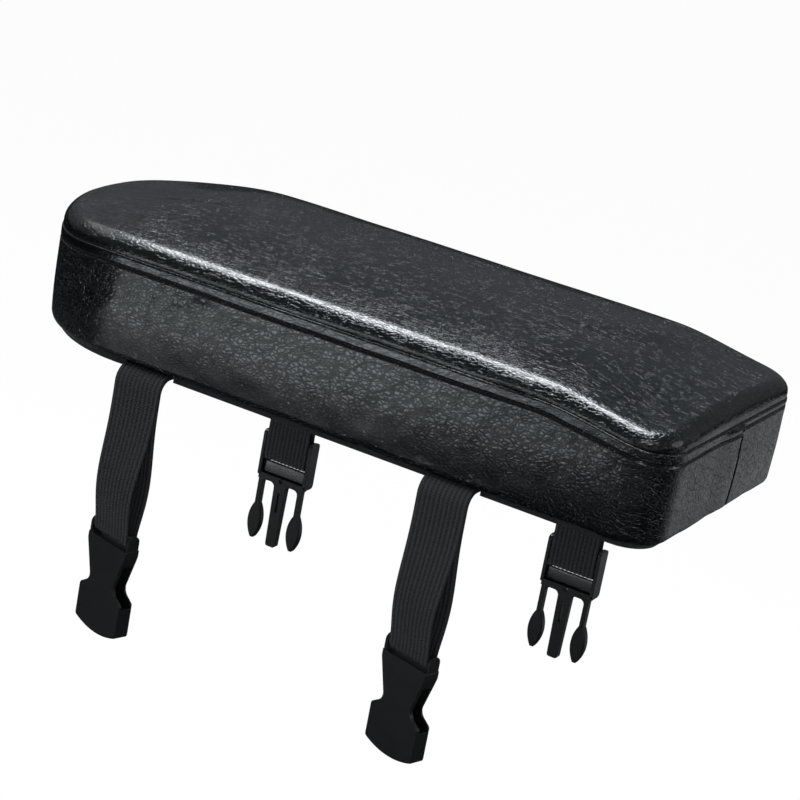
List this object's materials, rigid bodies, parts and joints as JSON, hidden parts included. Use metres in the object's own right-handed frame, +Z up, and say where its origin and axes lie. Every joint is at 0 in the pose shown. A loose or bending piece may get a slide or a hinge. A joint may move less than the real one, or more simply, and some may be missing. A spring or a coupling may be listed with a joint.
{
  "type": "rear rack cushion seat",
  "caption": "Padded leatherette cushion on a board, rounded at one end and square at the other, with webbing straps and side-release buckles for strapping it onto a bicycle's rear rack.",
  "frame": {"origin": "middle of the underside that rests on the rack, halfway along the cushion", "axes": "+X along the cushion towards its square end, +Z up out of the seat, sockets on the -Y side"},
  "size_m": [0.3508, 0.1722, 0.1949],
  "materials": {
    "leatherette": "glossy crackle-grained coated leatherette",
    "foam": "open-cell foam",
    "plywood": "plain plywood",
    "felt": "non-woven felt",
    "webbing": "ribbed woven webbing",
    "buckle_plastic": "moulded acetal, fine satin",
    "staple_steel": "galvanised wire"
  },
  "bodies": {
    "root": {"top_panel": "leatherette", "side_band": "leatherette", "foam_pad": "foam", "base_board": "plywood", "base_pad": "felt", "skirt_staples": "staple_steel", "strap_staples": "staple_steel", "socket_strap_rounded_end": "webbing", "plug_strap_rounded_end": "webbing", "socket_strap_square_end": "webbing", "plug_strap_square_end": "webbing"},
    "buckle_socket_rounded_end": {"buckle_socket_rounded_end": "buckle_plastic"},
    "buckle_plug_rounded_end": {"buckle_plug_rounded_end": "buckle_plastic"},
    "buckle_socket_square_end": {"buckle_socket_square_end": "buckle_plastic"},
    "buckle_plug_square_end": {"buckle_plug_square_end": "buckle_plastic"}
  },
  "joints": [
    {"name": "swing_socket_rounded_end", "type": "hinge", "parent": "root", "child": "buckle_socket_rounded_end", "pos_m": [-0.0865, -0.079, -0.078], "axis": [0.9563, -0.2924, 0], "range_deg": [-80, 80]},
    {"name": "swing_plug_rounded_end", "type": "hinge", "parent": "root", "child": "buckle_plug_rounded_end", "pos_m": [-0.088, 0.079, -0.078], "axis": [1, 0, 0], "range_deg": [-80, 0]},
    {"name": "swing_socket_square_end", "type": "hinge", "parent": "root", "child": "buckle_socket_square_end", "pos_m": [0.0775, -0.079, -0.078], "axis": [0.9563, -0.2924, 0], "range_deg": [-80, 80]},
    {"name": "swing_plug_square_end", "type": "hinge", "parent": "root", "child": "buckle_plug_square_end", "pos_m": [0.0815, 0.079, -0.078], "axis": [1, 0, 0], "range_deg": [-80, 0]}
  ]
}
